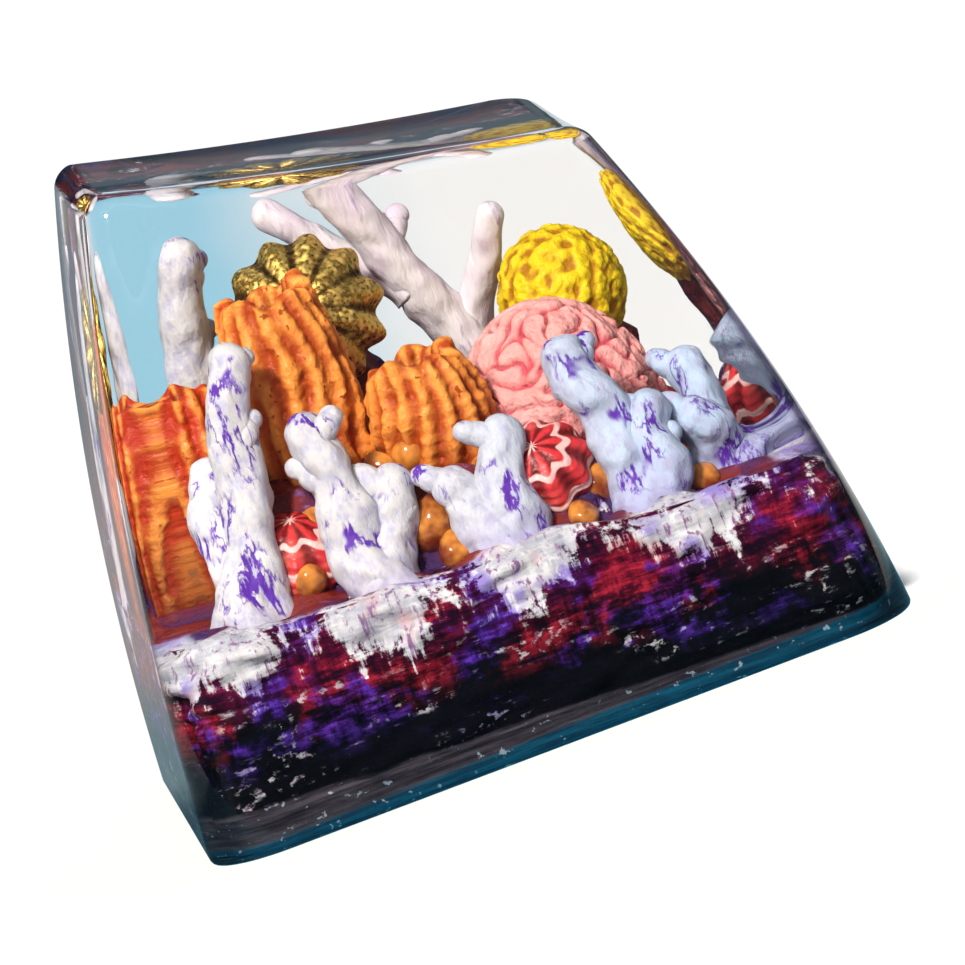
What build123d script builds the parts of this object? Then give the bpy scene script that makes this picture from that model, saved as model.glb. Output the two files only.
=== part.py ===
from build123d import *
import math
import os

# Keycap for one key, with a small reef garden cast into clear resin.
# Millimetres and degrees. Z is up from the base rim, X runs from the high back edge
# of the cap to the low edge at the typist, and the origin is the middle of the base.

# Clear body: a square base, a smaller top that is tilted and dished, swelling walls,
# and corners rounded by narrow walls that each turn a little further
base_size = 18.2
base_corner = 1.87
top_size = 12.0
top_corner = 0.95
top_height = 14.9
top_tilt = 12.1
top_shift = 0.37
wall_bulge = 0.5
corner_steps = 7
dish_radius = 120.0
dish_depth = 0.3
rim_bevel = 0.2
base_bevel = 0.15

# Clear resin left around the scene: at the walls, under the rock and below the dish
resin_skin = 1.0
rock_foot = 0.7
top_cover = 1.1

# Cast rock: a skirt behind the clear skin, and a faceted mound with a spire and a knob on it
rim_height = 4.6
rim_tilt = 3.5
rock_steps = 2
mound_shelf = 0.67
mound_lean = 23.5
mound_height = 6.5
mound_sides = 11
mound_rough = 0.07
spire_foot = 1.7
spire_head = 0.8
knob_foot = 1.5
knob_head = 1.0
spire_sides = 7

# Underside: the hollow over the switch, and the post with its cross socket
rim_width = 2.0
hollow_corner = 1.0
hollow_depth = 3.4
hollow_draft = 2.0
post_radius = 2.8
post_recess = 0.4
socket_arm = 4.1
socket_width = 1.3
socket_depth = 3.8
socket_lead = 0.15

# Reef pieces: radii, heights, the number of flat sides, and how deep their feet go
root_depth = 0.5
finger_root = 0.8
finger_tip = 0.52
finger_sides = 10
branch_root = 0.75
branch_tip = 0.5
twig_root = 0.5
twig_tip = 0.35
barrel_belly = 1.5
barrel_lip = 1.15
barrel_mouth = 0.75
barrel_mouth_depth = 1.5
barrel_sides = 12
small_barrel_belly = 1.08
coral_radius = 2.6
coral_height = 3.3
coral_lobes = 11
coral_groove = 0.14
ball_radius = 1.6
ball_lobes = 9
ball_groove = 0.08
gold_shell_radius = 2.0
gold_shell_height = 1.2
gold_shell_ribs = 11
striped_shell_radius = 1.35
striped_shell_height = 1.1
striped_shell_ribs = 9
shell_groove = 0.1
pebble_radius = 0.75
pebble_sides = 8

FLOOR = (Align.CENTER, Align.CENTER, Align.MIN)
slope = math.tan(math.radians(top_tilt))
rim_slope = math.tan(math.radians(rim_tilt))
peak = top_height + slope * top_size / 2


def regular(sides):
    """A unit outline with equal straight sides."""
    turn = 2 * math.pi / sides
    return [(math.cos(turn * k), math.sin(turn * k)) for k in range(sides)]


def pile(shape, rings):
    """A solid with flat facets: level copies of a unit outline, each with a middle and a radius."""
    loops = [
        [Vector(middle.X + radius * x, middle.Y + radius * y, middle.Z) for x, y in shape]
        for middle, radius in rings
    ]
    faces = [Face(Wire.make_polygon(loops[0])), Face(Wire.make_polygon(loops[-1]))]
    for low, high in zip(loops, loops[1:]):
        for k in range(len(shape)):
            corners = [low[k - 1], low[k], high[k], high[k - 1]]
            faces.append(Face(Wire.make_polygon(corners)))
    return Solid(Shell(faces))


def half_width(share, inset):
    """Half the square's size at a share of the height, set in from the wall."""
    swell = wall_bulge * 4 * share * (1 - share)
    return (base_size + (top_size - base_size) * share) / 2 + swell - inset


def reach(turn, z, inset):
    """How far the body reaches at a height in one direction: a square with rounded corners that
    shrinks towards the tilted top and moves a little to the high side."""
    along = math.cos(math.radians(turn))
    across = math.sin(math.radians(turn))
    share = z / (top_height - slope * along * top_size / 2)
    corner = base_corner + (top_corner - base_corner) * share
    straight = half_width(share, 0) - corner
    return straight * (abs(along) + abs(across)) + corner - top_shift * share * along - inset


def slab(turn, inset):
    """Two opposite walls, each an arc upwards, drawn through the body in one direction."""
    near, far = [
        [(side * reach(turn + flip, z, inset), z) for z in (0, peak / 2, peak)]
        for side, flip in ((1, 0), (-1, 180))
    ]
    section = make_face(
        [
            ThreePointArc(*near),
            Line(near[2], far[2]),
            ThreePointArc(*far),
            Line(far[0], near[0]),
        ]
    )
    return Rot(0, 0, turn) * extrude(Plane.XZ * section, base_size, both=True)


def body_form(inset, steps):
    """The body up to its highest level: slabs in even steps of a quarter turn, all crossed."""
    form = slab(0, inset)
    for k in range(1, 2 * steps):
        form = form & slab(90 * k / steps, inset)
    return form


def splay(size, stretch, corner, bevel):
    """A cut-off pyramid: a square with cut corners, smaller by the bevel, and wider below."""
    half = size / 2
    cut = 1 - corner / half * (2 - math.sqrt(2))
    corners = [(1, cut), (cut, 1), (-cut, 1), (-1, cut), (-1, -cut), (-cut, -1), (cut, -1), (1, -cut)]
    shape = [(x * stretch, y) for x, y in corners]
    deep = 2 * peak
    return pile(shape, [(Vector(0, 0, -deep), half - bevel + deep), (Vector(0, 0, 0), half - bevel)])


def clear_body():
    """The polished outside: rims eased by cut-off pyramids, and a dish in the tilted top."""
    top_plane = Pos(-top_shift, 0, top_height) * Rot(0, top_tilt, 0)
    top_stretch = 1 / math.cos(math.radians(top_tilt))
    top_rim = top_plane * splay(top_size, top_stretch, top_corner, rim_bevel)
    base_rim = Rot(180, 0, 0) * splay(base_size, 1, base_corner, base_bevel)
    dish = top_plane * Pos(0, 0, dish_radius - dish_depth) * Rot(90, 0, 0) * Sphere(dish_radius)
    return (body_form(0, corner_steps) & top_rim & base_rim) - dish


def hollow():
    """The room over the switch, open at the base and narrowing upwards."""
    mouth = base_size - 2 * rim_width
    return extrude(RectangleRounded(mouth, mouth, hollow_corner), hollow_depth, taper=hollow_draft)


def spot(u, v, w):
    """A place in the block: u and v run from -1 to 1 between the inner faces of the clear skin,
    and w from 0 at the rim of the rock to 1 at the clear cover below the top."""
    roof = top_height - top_cover - slope * u * top_size / 2
    rim = rim_height - rim_slope * u * base_size / 2
    z = rim + w * (roof - rim)
    share = z / top_height
    extent = half_width(share, resin_skin)
    return Vector(u * extent - top_shift * share, v * extent, z)


def lobed(lobes, groove):
    """A unit outline with lobes that stand out and grooves between them."""
    return [
        (x * (1 - groove * (k % 2)), y * (1 - groove * (k % 2)))
        for k, (x, y) in enumerate(regular(2 * lobes))
    ]


def craggy(sides):
    """A unit outline of a squarish rock with uneven corners."""
    corners = []
    for k, (x, y) in enumerate(regular(sides)):
        square = max(abs(x), abs(y)) ** -0.7
        reach = square * (1 - mound_rough * (1 + math.sin(2.6 * k + 0.8)))
        corners.append((x * reach, y * reach))
    return corners


def rock_base():
    """The cast base: skirt, mound and spire above, hollow and socket post below."""
    block = Box(2 * base_size, 2 * base_size, 2 * peak, align=FLOOR)
    band = Pos(0, 0, rock_foot) * block - Pos(0, 0, rim_height) * Rot(0, rim_tilt, 0) * block
    skirt = body_form(resin_skin, rock_steps) & band
    buried = (hollow_depth + rim_height) / 2
    mound_foot = half_width(rim_height / top_height, resin_skin) - mound_shelf
    mound_head = mound_foot - math.tan(math.radians(mound_lean)) * (top_height - buried)
    mound = pile(
        craggy(mound_sides),
        [(Vector(0, 0, buried), mound_foot), (Vector(0, 0, top_height), mound_head)],
    )
    mound = mound - Pos(0, 0, mound_height) * Rot(0, top_tilt, 0) * block
    spire = pile(
        regular(spire_sides),
        [(spot(-0.2, 0.42, 0), spire_foot), (spot(-0.28, 0.36, 0.62), spire_head)],
    )
    knob = pile(
        regular(spire_sides),
        [(spot(0.6, 0.4, 0), knob_foot), (spot(0.62, 0.34, 0.32), knob_head)],
    )
    rock = skirt + mound + spire + knob - hollow()
    post = Cylinder(post_radius, hollow_depth - post_recess, align=FLOOR)
    rock = rock + Pos(0, 0, post_recess) * post
    cross = Rectangle(socket_arm, socket_width) + Rectangle(socket_width, socket_arm)
    rock = rock - Pos(0, 0, post_recess) * extrude(cross, socket_depth)
    post_end = rock.faces().filter_by(Plane.XY).sort_by(Axis.Z)[0]
    return chamfer(post_end.edges().filter_by(GeomType.LINE), socket_lead)


def finger(foot, head, root, tip):
    """A tapered finger with a rounded end; it bows a little between two places."""
    rings = []
    for share in (0, 0.3, 0.6, 0.85, 1):
        place = foot + (head - foot) * share + Vector(0, 0, root * share * (1 - share))
        rings.append((place, root + (tip - root) * share))
    for rise, width in ((0.5, 0.85), (0.85, 0.45)):
        rings.append((head + Vector(0, 0, tip * rise), tip * width))
    return pile(regular(finger_sides), rings)


def finger_coral(u, v, fingers):
    """A clump of fingers from one root; each has the share of the height and its lean."""
    foot = spot(u, v, 0) - Vector(0, 0, root_depth)
    clump = [
        finger(foot, spot(u + lean_u, v + lean_v, reach), finger_root, finger_tip)
        for reach, lean_u, lean_v in fingers
    ]
    return clump[0] + clump[1:]


def barrel(foot, head, belly):
    """A hollow sponge: a swelling wall, a flat lip and a mouth that narrows downwards."""
    foot = foot - Vector(0, 0, root_depth)
    share = belly / barrel_belly
    mouth_floor = head - Vector(0, 0, barrel_mouth_depth * share)
    rings = [
        (foot, barrel_lip * share),
        (foot + (head - foot) * 0.4, (barrel_lip + 3 * barrel_belly) / 4 * share),
        (foot + (head - foot) * 0.65, belly),
        (foot + (head - foot) * 0.85, (barrel_lip + 2 * barrel_belly) / 3 * share),
        (head, barrel_lip * share),
        (head, barrel_mouth * share),
        (mouth_floor, barrel_mouth * share / 2),
    ]
    return pile(regular(barrel_sides), rings)


def dome(radius, height, latitudes):
    """Rings of an upright ellipse, from the first latitude to the last."""
    return [
        (Vector(0, 0, height * math.sin(math.radians(a))), radius * math.cos(math.radians(a)))
        for a in latitudes
    ]


def facing(place, target, solid):
    """A solid made round the origin, set at a place with its top towards another place."""
    return Plane(origin=place, z_dir=target - place) * solid


def bleached_branch():
    """A branch that leans across the back of the scene, with two twigs."""
    limb = finger(spot(0.45, 0.6, 0), spot(-0.05, 0.5, 0.92), branch_root, branch_tip)
    low_twig = finger(spot(0.26, 0.56, 0.36), spot(0.55, 0.45, 0.74), twig_root, twig_tip)
    high_twig = finger(spot(0.14, 0.53, 0.56), spot(-0.3, 0.66, 0.82), twig_root, twig_tip)
    return limb + low_twig + high_twig


def reef():
    """Every piece of the scene by name, in the order in which they are set."""
    shell_latitudes = (-40, 0, 25, 48, 70)
    striped = pile(
        lobed(striped_shell_ribs, shell_groove),
        dome(striped_shell_radius, striped_shell_height, shell_latitudes),
    )
    gold = pile(
        lobed(gold_shell_ribs, shell_groove),
        dome(gold_shell_radius, gold_shell_height, (0, 25, 48, 70)),
    )
    coral = pile(
        lobed(coral_lobes, coral_groove),
        dome(coral_radius, coral_height, (-20, 2, 20, 38, 56, 75)),
    )
    ball = pile(
        lobed(ball_lobes, ball_groove),
        dome(ball_radius, ball_radius, (-65, -35, -10, 15, 42, 70)),
    )
    return {
        "finger_coral_left": finger_coral(-0.8, -0.8, [(0.62, 0.12, 0.0), (0.34, -0.02, 0.18)]),
        "finger_coral_mid_left": finger_coral(-0.36, -0.84, [(0.42, -0.1, 0.0), (0.24, 0.14, 0.02)]),
        "finger_coral_middle": finger_coral(0.08, -0.86, [(0.3, 0.1, 0.0), (0.2, -0.12, 0.0)]),
        "finger_coral_mid_right": finger_coral(0.55, -0.82, [(0.46, -0.06, 0.0), (0.26, 0.12, 0.02)]),
        "finger_coral_right": finger_coral(0.86, -0.62, [(0.32, 0.0, 0.06), (0.2, -0.06, -0.12)]),
        "finger_coral_back": finger_coral(-0.82, 0.45, [(0.78, 0.1, -0.1), (0.45, 0.2, 0.2)]),
        "barrel_sponge_large": barrel(spot(-0.42, -0.34, 0), spot(-0.46, -0.42, 0.72), barrel_belly),
        "barrel_sponge_middle": barrel(spot(-0.02, -0.44, 0), spot(0.0, -0.56, 0.5), barrel_belly),
        "barrel_sponge_small": barrel(spot(-0.78, -0.2, 0), spot(-0.86, -0.24, 0.5), small_barrel_belly),
        "brain_coral": Pos(*spot(0.42, -0.24, 0.18)) * coral,
        "sponge_ball": Pos(*spot(0.64, 0.28, 0.5)) * ball,
        "gold_shell": facing(spot(-0.28, 0.3, 0.58), spot(-0.34, -0.6, 0.8), gold),
        "striped_shell_left": facing(spot(-0.6, -0.66, 0.1), spot(-0.55, -1.3, 0.8), striped),
        "striped_shell_middle": facing(spot(0.26, -0.74, 0.16), spot(0.26, -1.4, 0.6), striped),
        "striped_shell_right": facing(spot(0.8, -0.1, 0.08), spot(0.95, -0.5, 0.8), striped),
        "bleached_branch": bleached_branch(),
    }


def pebbles():
    """Glossy beads that lie between the other pieces, half sunk into the rock."""
    bead = pile(regular(pebble_sides), dome(pebble_radius, pebble_radius, (-55, -15, 25, 60)))
    places = ((-0.5, -0.64, 0.14), (-0.14, -0.74, 0.1), (0.4, -0.72, 0.08), (0.78, -0.36, 0.04))
    return [Pos(*spot(u, v, w)) * bead for u, v, w in places]


def largest(shape):
    """The main solid of a shape, without slivers that a cut has left beside it."""
    return shape.solids().sort_by(SortBy.VOLUME)[-1]


def clear_of(piece, others):
    """A piece without the room that the pieces set before it take up."""
    box = piece.bounding_box()
    near = [
        other
        for other in others
        if box.min.X < other.bounding_box().max.X
        and other.bounding_box().min.X < box.max.X
        and box.min.Y < other.bounding_box().max.Y
        and other.bounding_box().min.Y < box.max.Y
    ]
    return largest(Part() + piece - near)


os.makedirs("parts", exist_ok=True)
nodes = {"rock_base": rock_base()}
for name, piece in reef().items():
    nodes[name] = clear_of(piece, nodes.values())
beads = [clear_of(bead, nodes.values()) for bead in pebbles()]
nodes["amber_pebbles"] = Compound(children=beads)
sealed = list(nodes.values())
nodes["clear_resin_cap"] = largest(clear_body() - hollow() - sealed)
for name, piece in nodes.items():
    export_step(piece, f"parts/{name}.step")
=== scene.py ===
import bpy
import numpy as np
from mathutils import Matrix, Vector


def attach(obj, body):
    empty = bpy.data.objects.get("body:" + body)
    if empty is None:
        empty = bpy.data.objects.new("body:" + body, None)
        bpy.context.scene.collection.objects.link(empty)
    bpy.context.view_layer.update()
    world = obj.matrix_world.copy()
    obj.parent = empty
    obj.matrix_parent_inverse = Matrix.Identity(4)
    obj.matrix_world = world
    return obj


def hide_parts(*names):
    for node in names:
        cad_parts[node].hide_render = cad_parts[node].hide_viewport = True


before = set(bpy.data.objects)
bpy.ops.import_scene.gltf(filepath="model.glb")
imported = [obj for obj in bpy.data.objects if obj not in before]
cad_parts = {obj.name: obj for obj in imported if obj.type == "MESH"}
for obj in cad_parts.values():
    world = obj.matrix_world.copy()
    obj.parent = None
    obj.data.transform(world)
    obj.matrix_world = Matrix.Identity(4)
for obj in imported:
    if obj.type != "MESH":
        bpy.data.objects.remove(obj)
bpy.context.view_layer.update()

MM = 0.001

# Painted rock. On the real cap it is a black casting, with the switch post below, that is
# dry-brushed by hand with crimson, violet and white before the scene is set on it. The casting
# is the CAD node; this crust is its rough painted face and is fixed all over it.

BASE_SIZE, TOP_SIZE, TOP_HEIGHT = 18.2, 12.0, 14.9
BASE_CORNER, TOP_CORNER = 1.87, 0.95
WALL_BULGE, TOP_SHIFT = 0.5, 0.37
TOP_SLOPE = np.tan(np.radians(12.1))
RESIN_SKIN, ROCK_FOOT = 1.0, 0.7
RIM_HEIGHT, RIM_SLOPE = 4.6, np.tan(np.radians(3.5))
TOP_COVER = 1.1
HOLLOW_HALF, HOLLOW_CORNER, HOLLOW_DRAFT = 7.1, 1.0, np.tan(np.radians(2.0))
MOUND_BURIED, MOUND_RADIUS, MOUND_LEAN, MOUND_HEIGHT = 4.0, 6.9, np.tan(np.radians(23.5)), 6.5
SPIRE_ROOT, SPIRE_TIP, SPIRE_FLARE = 1.8, 0.9, 0.25
KNOB_ROOT, KNOB_TIP, KNOB_FLARE, STUMP_SWELL = 1.6, 1.05, 0.2, 0.08
BLACK = (0.0015, 0.002, 0.004)
CRIMSON = (0.42, 0.02, 0.045)
DEEP_CRIMSON = (0.07, 0.001, 0.006)
VIOLET = (0.13, 0.04, 0.5)
DEEP_VIOLET = (0.012, 0.003, 0.1)
PLUM = (0.16, 0.006, 0.05)
DEEP_PLUM = (0.012, 0.002, 0.012)
THIN_WHITE = (0.4, 0.42, 0.5)
WHITE = (0.72, 0.72, 0.74)
THICK_WHITE = (0.74, 0.75, 0.78)
LILAC_WHITE = (0.3, 0.24, 0.6)
ROSE_WHITE = (0.62, 0.4, 0.42)
BRISTLE_SHADE = (0.26, 0.14, 0.3)
MOUND_VIOLET = (0.04, 0.012, 0.09)
MOUND_RUST = (0.2, 0.016, 0.008)
MOUND_LILAC = (0.3, 0.16, 0.5)
FOOT_SHADE = (0.024, 0.02, 0.028)
FOOT_GREY = (0.085, 0.07, 0.09)
FOOT_DEEP_TEAL = (0.001, 0.04, 0.085)
FOOT_TEAL = (0.002, 0.1, 0.18)
DUST = (0.35, 0.42, 0.5)

CORAL_FEET = {
    "finger_coral_left": (-0.8, -0.8),
    "finger_coral_mid_left": (-0.36, -0.84),
    "finger_coral_middle": (0.08, -0.86),
    "finger_coral_mid_right": (0.55, -0.82),
    "finger_coral_right": (0.86, -0.62),
    "finger_coral_back": (-0.82, 0.45),
}

ARC_COLUMNS, FLAT_COLUMNS = 14, 66
corner_share = np.linspace(0, 1, ARC_COLUMNS)
flat_share = np.linspace(0, 1, FLAT_COLUMNS + 2)[1:-1]
side = np.arange(4)[:, None]
column_turn = np.radians(90 * np.hstack([side + corner_share, side + 1 + 0 * flat_share]).ravel())
column_slide = np.hstack([0 * (side + corner_share), 0 * side + flat_share]).ravel()
column_side = np.repeat(np.arange(4), ARC_COLUMNS + FLAT_COLUMNS)
SIDE_X, SIDE_Y = np.array([1, -1, -1, 1]), np.array([1, 1, -1, -1])


def outline(z, inset):
    """Level sections of the block. In each direction the wall lies as far out as a square with
    rounded corners, which shrinks and shifts with height. A point is that distance along the
    direction plus its rate of change across it, and a flat side runs straight between two corners."""
    c, s = np.cos(column_turn), np.sin(column_turn)
    full = TOP_HEIGHT - TOP_SLOPE * c * TOP_SIZE / 2
    share = z / full
    corner = BASE_CORNER + (TOP_CORNER - BASE_CORNER) * share
    straight = (BASE_SIZE + (TOP_SIZE - BASE_SIZE) * share) / 2 - corner
    straight = straight + WALL_BULGE * 4 * share * (1 - share)
    straight_rate = (TOP_SIZE - BASE_SIZE) / 2 - (TOP_CORNER - BASE_CORNER)
    straight_rate = straight_rate + WALL_BULGE * 4 * (1 - 2 * share)
    share_rate = -z * TOP_SLOPE * TOP_SIZE / 2 * s / full**2
    ends = []
    for step in (0, 1):
        end = (column_side + step * (column_slide > 0)) % 4
        along, across = SIDE_X[end], SIDE_Y[end]
        spread = along * c + across * s
        reach = straight * spread + corner - TOP_SHIFT * share * c - inset
        rate = straight * (across * c - along * s) + TOP_SHIFT * share * s
        rate = rate + share_rate * (straight_rate * spread + TOP_CORNER - BASE_CORNER - TOP_SHIFT * c)
        ends.append(np.stack([reach * c - rate * s, reach * s + rate * c], -1))
    slide = column_slide[:, None]
    return (1 - slide) * ends[0] + slide * ends[1]


def ripple(points, wave, seed):
    """Smooth uneven noise of about unit size: the sum of twelve sine waves, all of one wave length,
    that run in fixed scattered directions."""
    draw = np.random.default_rng(seed)
    direction = draw.normal(size=(12, 3))
    direction /= np.linalg.norm(direction, axis=1, keepdims=True)
    phase = draw.uniform(0, 2 * np.pi, 12)
    return np.sin(points @ direction.T * (2 * np.pi / wave) + phase).sum(-1) / 2.45


def raised(xy, z):
    """Plan points and heights as points in space."""
    z = np.broadcast_to(z, xy.shape[:-1])
    return np.concatenate([xy, z[..., None]], -1)


def closed_piece(name, grids, **traits):
    """One object from closed grids of points. Rows go up the outside, columns go round
    counter-clockwise, the last column meets the first, and both end rows close to a point."""
    points, faces, start = [], [], 0
    values = {trait: [] for trait in traits}
    for k, grid in enumerate(grids):
        rows, columns = grid.shape[:2]
        index = start + np.arange(rows * columns).reshape(rows, columns)
        after = np.roll(index, -1, axis=1)
        low = np.full(columns, start + rows * columns)
        faces += np.stack([index[:-1], after[:-1], after[1:], index[1:]], -1).reshape(-1, 4).tolist()
        faces += np.stack([low, after[0], index[0]], -1).tolist()
        faces += np.stack([low + 1, index[-1], after[-1]], -1).tolist()
        points += [grid.reshape(-1, 3), grid[:1].mean(1), grid[-1:].mean(1)]
        for trait, fields in traits.items():
            field = np.broadcast_to(fields[k], (rows, columns))
            values[trait] += [field.ravel(), field[:1].mean(1), field[-1:].mean(1)]
        start += rows * columns + 2
    mesh = bpy.data.meshes.new(name)
    mesh.from_pydata((np.concatenate(points) * MM).tolist(), [], faces)
    mesh.shade_smooth()
    for trait in traits:
        field = mesh.attributes.new(trait, "FLOAT", "POINT")
        field.data.foreach_set("value", np.concatenate(values[trait]).astype(np.float32))
    piece = bpy.data.objects.new(name, mesh)
    bpy.context.scene.collection.objects.link(piece)
    return piece


def spot(u, v, w):
    """A place in the block: u and v run from -1 to 1 between the inner faces of the clear skin,
    and w from 0 at the rim of the rock to 1 at the clear cover below the top."""
    roof = TOP_HEIGHT - TOP_COVER - TOP_SLOPE * u * TOP_SIZE / 2
    rim = RIM_HEIGHT - RIM_SLOPE * u * BASE_SIZE / 2
    z = rim + w * (roof - rim)
    share = z / TOP_HEIGHT
    extent = (BASE_SIZE + (TOP_SIZE - BASE_SIZE) * share) / 2 + WALL_BULGE * 4 * share * (1 - share)
    extent -= RESIN_SKIN
    return np.array([u * extent - TOP_SHIFT * share, v * extent, z])


def rounded_square(half, corner):
    """A square with round corners, at the same columns as the block's outline."""
    after = (column_side + (column_slide > 0)) % 4
    along = (1 - column_slide) * SIDE_X[column_side] + column_slide * SIDE_X[after]
    across = (1 - column_slide) * SIDE_Y[column_side] + column_slide * SIDE_Y[after]
    round_off = corner * np.stack([np.cos(column_turn), np.sin(column_turn)], -1)
    return (half - corner) * np.stack([along, across], -1) + round_off


def ground(x, y):
    """The rock's upper face: the tilted rim, and on it a craggy cone that a tilted plane cuts off."""
    corners = 2 * np.pi * np.arange(12) / 11
    square = np.maximum(abs(np.cos(corners)), abs(np.sin(corners))) ** -0.7
    crag = square * (1 - 0.07 * (1 + np.sin(2.6 * (np.arange(12) % 11) + 0.8)))
    radius = np.hypot(x, y) / np.interp(np.arctan2(y, x) % (2 * np.pi), corners, crag)
    cone = MOUND_BURIED + (MOUND_RADIUS - radius) / MOUND_LEAN
    return np.maximum(RIM_HEIGHT - RIM_SLOPE * x, np.minimum(cone, MOUND_HEIGHT - TOP_SLOPE * x))


def finger_surface(foot, head, root, tip, flare, knob, seed):
    """Rings square to a line that bows up and sways; their radius shrinks from root to tip, flares
    at the foot and swells in soft knobs, and the end closes as a half ball."""
    turn = np.linspace(0, 2 * np.pi, 40, endpoint=False)
    share = np.linspace(0, 1, 64)[:, None]
    cap = np.linspace(0, 0.48 * np.pi, 10)[1:, None]
    middle = foot + (head - foot) * share + [0, 0, root] * share * (1 - share)
    sway = np.sin(np.pi * share) * np.sin(2 * np.pi * share * [0.8, 0.6] + seed * np.array([1.0, 1.7]))
    middle[:, :2] += 0.2 * root * sway
    along = np.gradient(middle, axis=0)
    along /= np.linalg.norm(along, axis=1, keepdims=True)
    middle = np.vstack([middle, middle[-1] + along[-1] * tip * 0.95 * np.sin(cap)])
    along = np.vstack([along, np.repeat(along[-1:], len(cap), axis=0)])
    across = np.cross([0, 1, 0], along)
    across /= np.linalg.norm(across, axis=1, keepdims=True)
    ring = across[:, None] * np.cos(turn)[:, None]
    ring = ring + np.cross(along, across)[:, None] * np.sin(turn)[:, None]
    radius = (root + (tip - root) * share) * (1 + flare * np.exp(-share / 0.1))
    radius = np.vstack([radius, tip * np.cos(cap)])
    body = middle[:, None] + radius[..., None] * ring
    swell = knob * ripple(body, 1.3, seed) + 0.4 * knob * ripple(body, 0.5, seed + 1)
    return middle[:, None] + (radius * (1 + swell))[..., None] * ring, swell / knob


def rock_crust():
    """Rows of the crust: hidden rows in the casting, a lip round the hollow down to the base, the
    sides from the foot up to an uneven rim, pushed out by noise and by paint that has run down from
    the feet of the corals, and then the upper face, drawn in to the middle of the mound."""
    rim_plan = outline(np.full(column_turn.size, RIM_HEIGHT), RESIN_SKIN)
    rim = RIM_HEIGHT - RIM_SLOPE * rim_plan[:, 0] + 0.22 * ripple(raised(rim_plan, 0), 4.0, 3)
    rise = np.linspace(0, 1, 56)[:, None]
    level = ROCK_FOOT - 0.03 + rise * (rim - ROCK_FOOT)
    face = raised(outline(level, RESIN_SKIN), level)
    runs = 0 * level
    for number, foot in enumerate(CORAL_FEET.values()):
        away = np.linalg.norm(face[..., :2] - 1.12 * spot(*foot, 0)[:2], axis=-1)
        away = away + 0.25 * ripple(face * [1, 1, 0.2], 1.1, 20 + number)
        drop = (rim - level) / (2.7 + 0.6 * np.sin(2.4 * number))
        runs = np.maximum(runs, np.exp(-(away / 1.35) ** 2) * np.clip(1.15 - drop, 0, 1))
    lift = 0.2 + 0.1 * ripple(face * [1, 1, 1.6], 2.4, 5) + 0.06 * ripple(face * [1, 1, 1.5], 0.8, 6)
    lift = lift + 0.22 * runs
    lift = lift * np.clip(rise / 0.08, 0.3, 1) - 0.35 * np.clip((rise - 0.9) / 0.1, 0, 1) ** 2
    sides = raised(outline(level, RESIN_SKIN - np.clip(lift, 0.03, 0.6)), level)
    draw_in = np.linspace(1, 0.01, 64)[1:, None, None]
    plan = sides[-1, :, :2] * draw_in
    top = raised(plan, ground(plan[..., 0], plan[..., 1]) + 0.1)
    bumps = 0.1 * ripple(top, 1.9, 8) + 0.05 * ripple(top, 0.7, 9)
    top[..., 2] += bumps - (0.3 + bumps) * np.exp(-(1 - draw_in[..., 0]) / 0.02)
    top[..., 2] = np.maximum(top[..., 2], np.where(draw_in[..., 0] > 0.9, sides[-1, :, 2], 0))
    below = np.full(column_turn.size, ROCK_FOOT - 0.04)
    inner = [
        raised(rounded_square(0.3, 0.1), 4.0),
        raised(rounded_square(HOLLOW_HALF + 0.1, HOLLOW_CORNER), 3.9),
        raised(rounded_square(HOLLOW_HALF + 0.1, HOLLOW_CORNER), 0.05),
        raised(outline(0 * below + 0.05, RESIN_SKIN + 0.04), 0.05),
        raised(outline(below, RESIN_SKIN + 0.04), below),
    ]
    plain = np.zeros((len(inner), column_turn.size))
    crag = np.vstack([plain, (lift - 0.2) * 6, bumps * 6])
    inward = (1 - draw_in[..., 0]) * (1 - 0.6 * runs[-1]) + 0.012 * ripple(top, 1.2, 12)
    inward = np.vstack([plain, 0 * runs, np.clip(inward, 0, 1)])
    runs = np.vstack([plain, runs, 0 * bumps + runs[-1]])
    return np.concatenate([inner, sides, top]), crag, runs, inward


def start_paint(name):
    """A new material: its node tree, its shader and the place on the object in metres."""
    material = bpy.data.materials.new(name)
    material.use_nodes = True
    tree = material.node_tree
    place = tree.nodes.new("ShaderNodeTexCoord").outputs["Object"]
    return material, tree, tree.nodes["Principled BSDF"], place


def feed(tree, value, socket):
    """Puts a number, a colour or another node's output into a socket."""
    if isinstance(value, bpy.types.NodeSocket):
        tree.links.new(value, socket)
    else:
        socket.default_value = value


def sums(tree, operation, first, second):
    """One step of arithmetic on two values."""
    step = tree.nodes.new("ShaderNodeMath")
    step.operation = operation
    feed(tree, first, step.inputs[0])
    feed(tree, second, step.inputs[1])
    return step.outputs[0]


def mottle(tree, place, per_mm, detail=4.0, rough=0.6, shift=0.0):
    """Noise with so many features in a millimetre along X, Y and Z."""
    mapping = tree.nodes.new("ShaderNodeMapping")
    mapping.inputs["Scale"].default_value = [1000 * count for count in per_mm]
    mapping.inputs["Location"].default_value = (shift, shift, shift)
    texture = tree.nodes.new("ShaderNodeTexNoise")
    texture.inputs["Scale"].default_value = 1.0
    texture.inputs["Detail"].default_value = detail
    texture.inputs["Roughness"].default_value = rough
    tree.links.new(place, mapping.inputs["Vector"])
    tree.links.new(mapping.outputs["Vector"], texture.inputs["Vector"])
    return texture.outputs["Fac"]


def step_mask(tree, value, low, high):
    """A soft step from 0 at the low value to 1 at the high value."""
    mask = tree.nodes.new("ShaderNodeMapRange")
    mask.interpolation_type = "SMOOTHSTEP"
    mask.inputs["From Min"].default_value = low
    mask.inputs["From Max"].default_value = high
    feed(tree, value, mask.inputs["Value"])
    return mask.outputs["Result"]


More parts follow.
